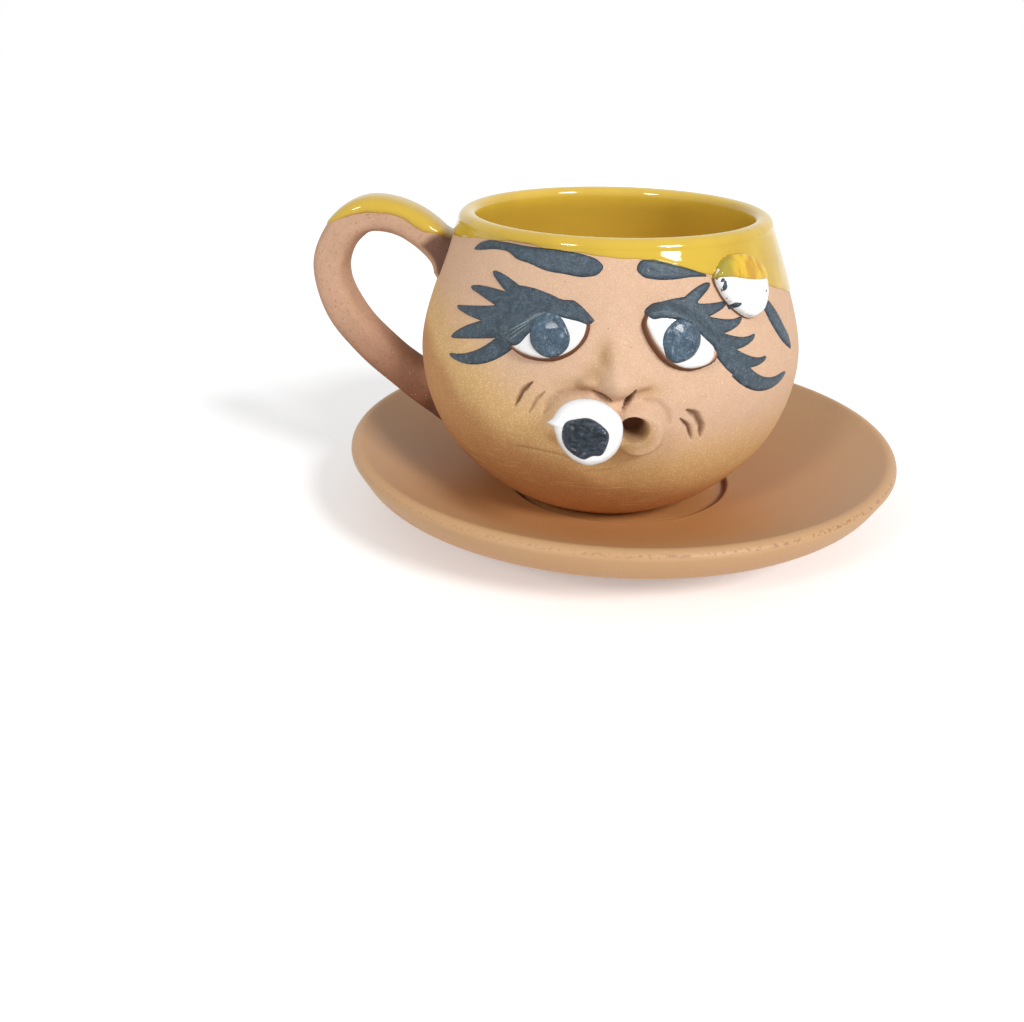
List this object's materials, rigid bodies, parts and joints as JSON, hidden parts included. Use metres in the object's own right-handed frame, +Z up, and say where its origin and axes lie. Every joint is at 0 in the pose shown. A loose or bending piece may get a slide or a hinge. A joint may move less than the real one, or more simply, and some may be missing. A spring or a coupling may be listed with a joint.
{
  "type": "clay cup with saucer",
  "caption": "Round-bellied terracotta cup with a modelled and painted face, an ear-shaped handle and a honey-glazed rim and inside, standing loose in the well of a matching saucer.",
  "frame": {"origin": "middle of the saucer's flat base, on the saucer's axis", "axes": "+Z up; the face looks along -Y; the handle is on the -X side"},
  "size_m": [0.1165, 0.11, 0.0618],
  "materials": {
    "terracotta": "unglazed, matte, fine mica glints",
    "saucer_clay": "unglazed, smooth, slight sheen",
    "honey_glaze": "glossy transparent glaze",
    "white_slip": "thick white slip, glossy",
    "dark_slip": "brushed blue-black slip, half matte"
  },
  "bodies": {
    "saucer": {"saucer": "saucer_clay"},
    "cup": {"cup_body": "terracotta", "handle": "terracotta", "nose": "terracotta", "lips": "terracotta", "glaze_lining": "honey_glaze", "handle_glaze": "honey_glaze", "disc_glaze": "honey_glaze", "cigarette": "white_slip", "cigarette_tip": "dark_slip", "left_eye": "white_slip", "right_eye": "white_slip", "left_iris": "dark_slip", "right_iris": "dark_slip", "left_eyelid": "dark_slip", "right_eyelid": "dark_slip", "left_lashes": "dark_slip", "right_lashes": "dark_slip", "left_brow": "dark_slip", "right_brow": "dark_slip", "right_brow_tail": "dark_slip", "forehead_disc": "white_slip"}
  },
  "joints": [
    {"name": "cup_lift", "type": "slide", "parent": "saucer", "child": "cup", "axis": [0, 0, 1], "range_m": [0, 0.08]}
  ]
}
